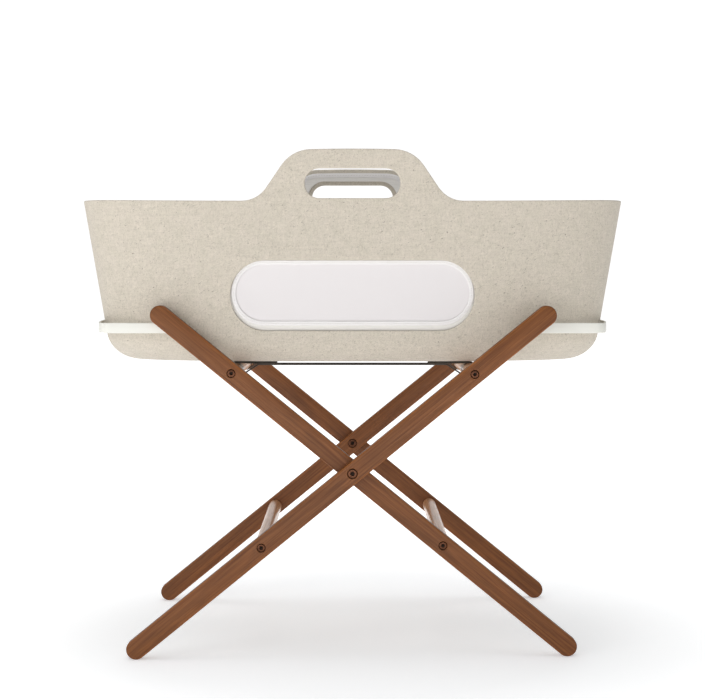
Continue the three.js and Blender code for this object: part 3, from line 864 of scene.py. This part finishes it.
def window_line(half, radius, centre, skin, side, spread=0.0, count=160):
    """A closed line (point, outward) round a stadium on the front or the back wall."""
    line = []
    for x, z in stadium_points(half, radius, centre, count, spread):
        point = side_point(x, z, skin, LINER_FLOOR, side)
        along = side_point(x + MM, z, skin, LINER_FLOOR, side) - point
        rise = side_point(x, z + MM, skin, LINER_FLOOR, side) - point
        line.append((point, along.cross(rise).normalized() * -side))
    return line


def line_frames(line, inward=False):
    """Sweep frames for a closed line, with up along the outward or inward side."""
    frames = []
    for i, (point, outward) in enumerate(line):
        run = (line[(i + 1) % len(line)][0] - line[i - 1][0]).normalized()
        up = -outward if inward else outward
        frames.append((point, run.cross(up).normalized(), up))
    return frames


def tape(name, line, width, thick, material, inward=False):
    """A flat tape laid on a closed line, with soft edges."""
    b = Builder()
    frames = [(p + up * thick / 2, across, up) for p, across, up in line_frames(line, inward)]
    sweep(b, frames, rounded_section(width, thick, 0.4 * thick, 2), closed=True)
    return b.object(name, material, 60)


def stitches(name, lines, material, lift=0.0, inward=False, length=3.2 * MM, pitch=4.8 * MM,
             radius=0.42 * MM, closed=True):
    """Rows of stitches, each a short thread that dips into the cloth at both ends."""
    b = Builder()
    hexagon = arc((0, 0), radius, 0.0, 2 * math.pi, 6)[:-1]
    for line in lines:
        points = line + line[:1] if closed else line
        places = np.array([tuple(p) for p, _ in points])
        ups = np.array([tuple(-n if inward else n) for _, n in points])
        steps = np.linalg.norm(np.diff(places, axis=0), axis=1)
        reach = np.concatenate([[0], np.cumsum(steps)])
        for k in range(int(reach[-1] / pitch)):
            path = []
            for share in (0.0, 0.15, 0.5, 0.85, 1.0):
                s = k * pitch + share * length
                here = Vector([np.interp(s, reach, places[:, i]) for i in range(3)])
                ahead = Vector([np.interp(s + 0.5 * MM, reach, places[:, i]) for i in range(3)])
                up = Vector([np.interp(s, reach, ups[:, i]) for i in range(3)]).normalized()
                run = (ahead - here).normalized() if (ahead - here).length > 1e-7 else run
                height = lift + radius * (0.7 - 1.9 * (2 * share - 1) ** 4)
                path.append((here + up * height, run.cross(up).normalized(), up))
            sweep(b, path, hexagon)
    return b.object(name, material, 60)


def sewing():
    """The tapes that finish the lining's top edge and the mesh windows, with their stitches."""
    inside = edge_line(LINER_SKIN + LINER_THICK, LINER_FLOOR, BINDING_DROP)
    finish_piece(tape("lining_binding", inside, *BINDING, BINDING_MAT, inward=True), "basket")
    row = stitches("binding_stitching", [inside], LINING_THREAD, lift=BINDING[1], inward=True)
    finish_piece(row, "basket")
    for name, side in (("front", -1), ("back", 1)):
        line = window_line(*MESH, LINER_SKIN - 0.1 * MM, side, spread=1.8 * MM)
        band = tape(f"mesh_binding_{name}", line, *MESH_TAPE, BINDING_MAT)
        finish_piece(band, "basket")
        row = stitches(f"mesh_stitching_{name}", [line], LINING_THREAD, lift=MESH_TAPE[1],
                       length=2.4 * MM, pitch=3.6 * MM, radius=0.3 * MM)
        finish_piece(row, "basket")
        line = window_line(*MESH, LINER_SKIN + LINER_THICK, side, spread=1.0 * MM)
        band = tape(f"mesh_facing_{name}", line, *FACING, BINDING_MAT, inward=True)
        finish_piece(band, "basket")


felt_shell()
liner = cloth_liner()
sewing()
front_mesh = mesh_window("mesh_front", "mesh_window_front", -1)
back_mesh = mesh_window("mesh_back", "mesh_window_back", 1)

# ------------------------------------------------------------------ mattress


def swell(obj, voxel, pressure, cap):
    """Fills a closed soft piece with cloth pressure, no point moving further than the cap."""
    remesh = obj.modifiers.new("even_cloth", "REMESH")
    remesh.mode = "VOXEL"
    remesh.voxel_size = voxel
    even = obj.modifiers.new("even_edges", "SMOOTH")
    even.factor = 0.5
    even.iterations = 5
    apply_modifiers(obj)
    start = read_points(obj)
    cloth = obj.modifiers.new("filling", "CLOTH")
    cloth.settings.quality = 4
    cloth.settings.mass = 0.3
    cloth.settings.use_pressure = True
    cloth.settings.uniform_pressure_force = pressure
    cloth.settings.effector_weights.gravity = 0.0
    cloth.point_cache.frame_start = 1
    cloth.point_cache.frame_end = 20
    for number in range(1, 21):
        scene.frame_set(number)
    apply_modifiers(obj)
    scene.frame_set(1)
    moved = read_points(obj) - start
    size = np.linalg.norm(moved, axis=1, keepdims=True)
    moved *= np.minimum(1.0, cap / np.maximum(size, 1e-9))
    obj.data.vertices.foreach_set("co", (start + moved).ravel())
    smooth = obj.modifiers.new("smooth", "SUBSURF")
    smooth.levels = smooth.render_levels = 1
    apply_modifiers(obj)


def read_points(obj):
    points = np.empty(len(obj.data.vertices) * 3)
    obj.data.vertices.foreach_get("co", points)
    return points.reshape(-1, 3)


def quilt(obj, top, floor):
    """Presses the sewn diamonds into the top of the cushion, fading out before its edge."""
    points = read_points(obj)
    a, b, power = section(top, PAD_SKIN, floor)
    share = (np.abs(points[:, 0]) / a) ** power + (np.abs(points[:, 1]) / b) ** power
    fade = np.clip((1 - share) / 0.2, 0.0, 1.0) * (points[:, 2] > (top + floor) / 2)
    for sign in (-1, 1):
        across = (points[:, 0] + sign * points[:, 1] * 1.25) / QUILT
        away = np.abs(across - np.round(across)) * QUILT
        points[:, 2] -= 0.5 * QUILT_DEPTH * fade * np.exp(-((away / QUILT_WIDTH) ** 2))
    obj.data.vertices.foreach_set("co", points.ravel())
    obj.data.update()


def seam_line(surface, z, floor):
    """A closed line (point, outward) round the cushion at one height, sunk a quarter of a cord."""
    starts = [wall_point(c, z, 0.0, floor) for c in range(COUNT)]
    normals = [wall_normal(c, z, PAD_SKIN, floor) for c in range(COUNT)]
    flats = [Vector((n.x, n.y, 0)).normalized() for n in normals]
    depths = np.array([surface.ray_cast(start, -flat, SEAM_PROBE)[3]
                       for start, flat in zip(starts, flats)])
    for _ in range(12):
        depths = (np.roll(depths, 1) + depths + np.roll(depths, -1)) / 3
    return [(start - flat * (float(depth) + CORD / 4), flat)
            for start, flat, depth in zip(starts, flats, depths)]


def mattress():
    """The quilted mattress: a full cushion in the shape of the basket's floor, with piping."""
    low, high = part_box("mattress_cover")
    b = Builder()
    bottom, top = low.z + PAD_LIFT, high.z - PAD_DROP
    levels = [bottom + (top - bottom) * k / 5 for k in range(6)]
    loops = []
    for z in levels:
        share = (z - bottom) / (top - bottom)
        edge = PAD_TAPER * (2 * abs(share - 0.5)) ** 3
        loops.append(b.add([wall_point(c, z, PAD_SKIN + edge, low.z) for c in range(COUNT)]))
    for lower, upper in zip(loops, loops[1:]):
        b.bridge(lower, upper)
    b.fan(loops[0], Vector((0, 0, bottom)), flip=True)
    b.fan(loops[-1], Vector((0, 0, top)))
    pad = b.object("mattress_pad", MATTRESS_MAT)
    swell(pad, 6.0 * MM, 4.0, 5.0 * MM)
    quilt(pad, high.z, low.z)
    shade(pad, 60)
    surface = BVHTree.FromObject(pad, bpy.context.evaluated_depsgraph_get())
    for level, share in (("top", 0.80), ("bottom", 0.24)):
        z = low.z + share * (high.z - low.z)
        cord = tape(f"mattress_piping_{level}", seam_line(surface, z, low.z), CORD, CORD, BINDING_MAT)
        finish_piece(cord, "mattress")
    finish_piece(pad, "mattress", ["mattress_cover", "mattress_core"])


mattress()

# ------------------------------------------------------------------ stand


def leg_matrix(y, mirrored):
    """A leg's own frame, with X running up the leg through the pivot."""
    angle = -LEG_ANGLE if not mirrored else LEG_ANGLE - math.pi
    place = Matrix.Translation(Vector((0, y, PIVOT.z)))
    return place @ Matrix.Rotation(angle, 4, "Y")


def bore_cutter(radius, mouth, bottom, flare, turn=0.0):
    """A round cutter along Y from its bottom out past the mouth, opened at the mouth."""
    out = math.copysign(flare, mouth - bottom)
    b = Builder()
    b.lathe([(radius, bottom), (radius, mouth - out), (radius + flare, mouth),
             (radius + flare, mouth + math.copysign(2 * MM, out))], turn)
    return b


def leg_piece(name, node, mirrored, pivot_side, screw_side, body):
    """One leg: a flat bar with round ends, softened edges and countersunk bolt holes."""
    low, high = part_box(node)
    half = (high.y - low.y) / 2
    b = Builder()

    def outline(inset, y):
        r = LEG_HALF_WIDTH - inset
        straight = np.linspace(TIP_REACH, -FOOT_REACH, 25)[1:-1]
        flat = arc((TIP_REACH, 0), r, -math.pi / 2, math.pi / 2, 20)
        flat += [(x, r) for x in straight]
        flat += arc((-FOOT_REACH, 0), r, math.pi / 2, 3 * math.pi / 2, 20)
        flat += [(x, -r) for x in reversed(straight)]
        return [Vector((x, y, z)) for x, z in flat]

    rings = []
    for k in range(5):
        angle = math.pi / 2 * k / 4
        rings.append((LEG_ROUND * (1 - math.sin(angle)), half - LEG_ROUND * (1 - math.cos(angle))))
    rings += [(inset, -y) for inset, y in reversed(rings)]
    loops = [b.add(outline(inset, y)) for inset, y in rings]
    for near, far in zip(loops, loops[1:]):
        b.bridge(near, far)
    b.faces.append(tuple(reversed(loops[0])))
    b.faces.append(tuple(loops[-1]))
    leg = b.object(name, WALNUT, 30)

    for reach, radius, side in ((0.0, PIVOT_HEAD, pivot_side), (UPPER_REACH, SCREW_HEAD, screw_side),
                                (LOWER_REACH, SCREW_HEAD, screw_side)):
        deep = side * (half - BORE_DEPTH)
        head = bore_cutter(radius + HEAD_CLEARANCE, side * half, deep, 0.6 * MM)
        # turned a little, so that its sides never line up with the wider bore's
        shaft = bore_cutter(SHAFT_BORE, -side * half, deep + side * MM, 0.3 * MM, turn=0.05)
        for cutter in (head, shaft):
            tool = cutter.object("cutter", WALNUT)
            tool.location = (reach, 0, 0)
            cut = leg.modifiers.new("bore", "BOOLEAN")
            cut.operation = "DIFFERENCE"
            cut.solver = "EXACT"
            cut.object = tool
            apply_modifiers(leg)
            bpy.data.objects.remove(tool)
    shade(leg, 30)
    place = leg_matrix((low.y + high.y) / 2, mirrored)
    # the foot is cut flat where it would go below the floor
    for vertex in leg.data.vertices:
        world = place @ vertex.co
        world.z = max(world.z, low.z)
        vertex.co = place.inverted() @ world
    leg.matrix_world = place
    finish_piece(leg, body, [node])


def button_screw(name, node, body, head, socket, towards):
    """A button-headed screw with a hexagonal socket, its head facing along Y as given."""
    low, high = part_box(node)
    count = 48
    length = high.y - low.y
    crown = 0.72 * head
    profile = [(SHAFT - 0.4 * MM, -length), (SHAFT, -length + 0.4 * MM), (SHAFT, -HEAD_HEIGHT),
               (head - 0.2 * MM, -HEAD_HEIGHT), (head, -HEAD_HEIGHT + 0.2 * MM)]
    for k in range(9):
        angle = math.pi / 2 * k / 8
        profile.append((crown + (head - crown) * math.cos(angle), HEAD_DOME * (math.sin(angle) - 1)))
    b = Builder()
    turns = [2 * math.pi * k / count for k in range(count)]
    loops = [b.add([Vector((r * math.cos(t), r * math.sin(t), z)) for t in turns]) for r, z in profile]

    def hexagon(across, z):
        points = []
        for t in turns:
            bend = (t % (math.pi / 3)) - math.pi / 6
            r = across * math.cos(math.pi / 6) / math.cos(bend)
            points.append(Vector((r * math.cos(t), r * math.sin(t), z)))
        return points

    for across, z in ((socket + 0.25 * MM, 0.0), (socket, -0.25 * MM), (socket, -SOCKET_DEPTH)):
        loops.append(b.add(hexagon(across, z)))
    for near, far in zip(loops, loops[1:]):
        b.bridge(near, far)
    b.fan(loops[0], Vector((0, 0, -length)), flip=True)
    b.fan(loops[-1], Vector((0, 0, -SOCKET_TIP)))
    screw = b.object(name, SCREW_FINISH[head], 40)
    top = low.y if towards < 0 else high.y
    place = Matrix.Translation(Vector(((low.x + high.x) / 2, top, (low.z + high.z) / 2)))
    screw.matrix_world = place @ Matrix.Rotation(-towards * math.pi / 2, 4, "X")
    finish_piece(screw, body, [node])


def dowel_piece(name, node, body):
    """A round crossbar with chamfered ends."""
    low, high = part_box(node)
    radius = (high.z - low.z) / 2
    half = (high.y - low.y) / 2
    chamfer = 0.8 * MM
    b = Builder()
    b.lathe([(radius - chamfer, -half)]
            + [(radius, y) for y in np.linspace(chamfer - half, half - chamfer, 25)]
            + [(radius - chamfer, half)])
    bar = b.object(name, WALNUT_DOWEL_PAINTED_REFLECTION)
    bar.location = (low + high) / 2
    finish_piece(bar, body, [node])


def hoop_piece(name, node, body, sign):
    """A guard hoop: flat bar on edge, bent into a U round the end of the basket."""
    low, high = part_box(node)
    side = high.y - HOOP_THICK / 2
    start = min(abs(low.x), abs(high.x))
    shoulder = max(abs(low.x), abs(high.x)) - HOOP_THICK / 2 - HOOP_BOW
    radius = HOOP_CORNER - HOOP_THICK / 2
    flank = side - radius
    arm = [(x, -side) for x in np.linspace(start, shoulder - radius, 31)[:-1]]
    arm += arc((shoulder - radius, -flank), radius, -math.pi / 2, 0.0, 12)
    bow = [(shoulder + HOOP_BOW * (1 - (y / flank) ** 2), y)
           for y in np.linspace(-flank, flank, 41)[1:-1]]
    points = arm + bow + [(x, -y) for x, y in reversed(arm)]
    middle = (low.z + high.z) / 2
    path = [(Vector((sign * x, sign * y, middle)), Vector((sign * run.y, -sign * run.x, 0)),
             Vector((0, 0, 1))) for (x, y), run in zip(points, runs(points))]
    b = Builder()
    sweep(b, path, rounded_section(HOOP_THICK, high.z - low.z, HOOP_ROUND, 4))
    finish_piece(b.object(name, HOOP_PAINT), body, [node])


def strap_piece(name, node):
    """Webbing between the upper crossbars, looped round each and sewn back on itself."""
    low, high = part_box(node)
    y = (low.y + high.y) / 2
    width = high.y - low.y
    bar_low, bar_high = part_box("dowel_a_upper")
    bar = Vector(((bar_low.x + bar_high.x) / 2, (bar_low.z + bar_high.z) / 2))
    bar_r = (bar_high.z - bar_low.z) / 2
    wrap = bar_r + STRAP_LOOSE + STRAP_THICK / 2
    top = STRAP_TOP - STRAP_THICK / 2
    join = Vector((STRAP_JOIN, top))
    offset = join - bar
    leaves = math.atan2(offset.y, offset.x) + math.acos(wrap / offset.length)
    loop = [Vector(p) for p in arc(bar, wrap, leaves, math.pi / 2 + 2 * math.pi, 28)]
    half = [Vector((join.x * k / 40, top)) for k in range(40)]
    half += [join.lerp(loop[0], k / 4) for k in range(4)] + loop
    crest, tail_z = bar.y + wrap, top + STRAP_THICK + STRAP_GAP
    for k in range(1, 17):
        x = bar.x + (STRAP_TAIL - bar.x) * k / 16
        half.append(Vector((x, crest + (tail_z - crest) * min(k / 8, 1.0))))
    points = [Vector((-p.x, p.y)) for p in reversed(half)] + half[1:]
    path = [(Vector((p.x, y, p.y)), Vector((0, -1, 0)), Vector((-run.y, 0, run.x)))
            for p, run in zip(points, runs(points))]
    b = Builder()
    sweep(b, path, rounded_section(width, STRAP_THICK, STRAP_ROUND))
    ribbon = b.object(name, WEBBING)
    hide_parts(node)
    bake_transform(ribbon)


def strap_sewing(name, node):
    """Rows of stitches across the strap's doubled ends, above and below."""
    low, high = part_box(node)
    y = (low.y + high.y) / 2
    reach = (high.y - low.y) / 2 - 4 * MM
    above = STRAP_TOP + STRAP_THICK + STRAP_GAP
    below = STRAP_TOP - STRAP_THICK
    rows = []
    for x in STRAP_ROWS:
        for side in (-1, 1):
            for z, up in ((above, Vector((0, 0, 1))), (below, Vector((0, 0, -1)))):
                rows.append([(Vector((side * x, y + t * reach, z)), up) for t in (-1, 0, 1)])
    sewn = stitches(name, rows, DARK_THREAD, length=2.4 * MM, pitch=3.4 * MM, radius=0.35 * MM,
                    closed=False)
    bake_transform(sewn)


for letter, mirrored, outer, inner in (("a", False, "front", "back"), ("b", True, "back", "front")):
    flip = -1 if mirrored else 1
    body = f"frame_{letter}"
    leg_piece(f"wood_leg_{letter}_{outer}", f"leg_{letter}_{outer}", mirrored, -flip, -flip, body)
    leg_piece(f"wood_leg_{letter}_{inner}", f"leg_{letter}_{inner}", mirrored, -flip, flip, body)
    for level in ("upper", "lower"):
        dowel_piece(f"wood_bar_{letter}_{level}", f"dowel_{letter}_{level}", body)
    hoop_piece(f"guard_hoop_{letter}", f"hoop_{letter}", body, flip)

for letter in ("a", "b"):
    for level in ("upper", "lower"):
        for end, towards in (("front", -1), ("back", 1)):
            button_screw(f"button_screw_{letter}_{level}_{end}", f"screw_{letter}_{level}_{end}",
                         f"frame_{letter}", SCREW_HEAD, SOCKET, towards)
for end in ("front", "back"):
    button_screw(f"pivot_screw_{end}", f"pivot_bolt_{end}", "frame_a", PIVOT_HEAD, PIVOT_SOCKET, -1)

for end in ("front", "back"):
    strap_piece(f"webbing_{end}", f"strap_{end}")
    strap_sewing(f"webbing_stitching_{end}", f"strap_{end}")

HARDWARE = {"bronze": BRONZE, "brass": BRASS, "nylon": NYLON, "hoop_paint": HOOP_PAINT, "board": BOARD}
slots = {row["node"]: row["material_slot"] for row in frame["record"]["subparts"]}
for node_name, node_object in frame["nodes"].items():
    if node_object.hide_render:
        continue
    node_object.data.materials.clear()
    node_object.data.materials.append(HARDWARE[slots[node_name]])

# ------------------------------------------------------------------ floor, light, camera


def floor_plane():
    size = 14.0
    data = bpy.data.meshes.new("studio_floor")
    data.from_pydata([(-size, -size, 0), (size, -size, 0), (size, size, 0), (-size, size, 0)], [],
                     [(0, 1, 2, 3)])
    obj = bpy.data.objects.new("studio_floor", data)
    scene.collection.objects.link(obj)
    s = Shader("studio_white_painted_glow", roughness=0.9)
    grain = s.noise(3, detail=2)
    s.colour(s.ramp(grain, (0.3, 0.90), (0.7, 0.91)))
    # painted light: the floor glows, faintly and a little cool round the basket, and at full white further out
    away = s.math("DIVIDE", s.length(s.place((1, 0.8, 1))), 2.0)
    painted_floor_glow = s.ramp(away, (0.18, (0.385, 0.40, 0.415)), (0.75, 1.0))
    s.set(s.surface, Emission_Color=painted_floor_glow, Emission_Strength=1.0)
    data.materials.append(s.material)


def area_light(name, location, target, size, power, colour=(1, 1, 1)):
    data = bpy.data.lights.new(name, "AREA")
    data.shape = "RECTANGLE"
    data.size, data.size_y = size
    data.energy = power
    data.color = colour
    obj = bpy.data.objects.new(name, data)
    scene.collection.objects.link(obj)
    obj.location = location
    obj.visible_camera = False
    obj.rotation_euler = (Vector(target) - Vector(location)).to_track_quat("-Z", "Y").to_euler()


def studio_world():
    """Dim white light all round, in front of a backdrop that is seen as plain white."""
    world = bpy.data.worlds.new("studio")
    scene.world = world
    world.use_nodes = True
    tree = world.node_tree
    background = tree.nodes["Background"]
    background.inputs["Color"].default_value = (1, 1, 1, 1)
    ray = tree.nodes.new("ShaderNodeLightPath")
    strength = tree.nodes.new("ShaderNodeMapRange")
    strength.inputs["To Min"].default_value = 0.27
    strength.inputs["To Max"].default_value = 1.05
    tree.links.new(ray.outputs["Is Camera Ray"], strength.inputs["Value"])
    tree.links.new(strength.outputs["Result"], background.inputs["Strength"])


floor_plane()
studio_world()
area_light("key_soft_box", (-2.1, -2.1, 1.4), (-0.1, 0, 0.5), (1.6, 1.4), 17)
area_light("low_bounce", (-0.35, -2.5, 0.12), (-0.1, 0, 0.40), (2.4, 0.3), 12)
area_light("back_wall", (0, 2.8, 0.9), (0, 0, 0.45), (3.6, 1.8), 13)
area_light("top_soft_box", (-0.2, 0.2, 3.0), (0, 0, 0.4), (2.4, 2.4), 34)

camera_data = bpy.data.cameras.new("photo_camera")
camera_data.sensor_width = 36.0
camera_data.lens = 81.2
camera_data.shift_y = -0.104
camera = bpy.data.objects.new("photo_camera", camera_data)
scene.collection.objects.link(camera)
camera.location = (0.0, -2.593, 0.569)
camera.rotation_euler = (math.pi / 2, 0, 0)
scene.camera = camera
scene.view_settings.view_transform = "Standard"
scene.view_settings.look = "None"
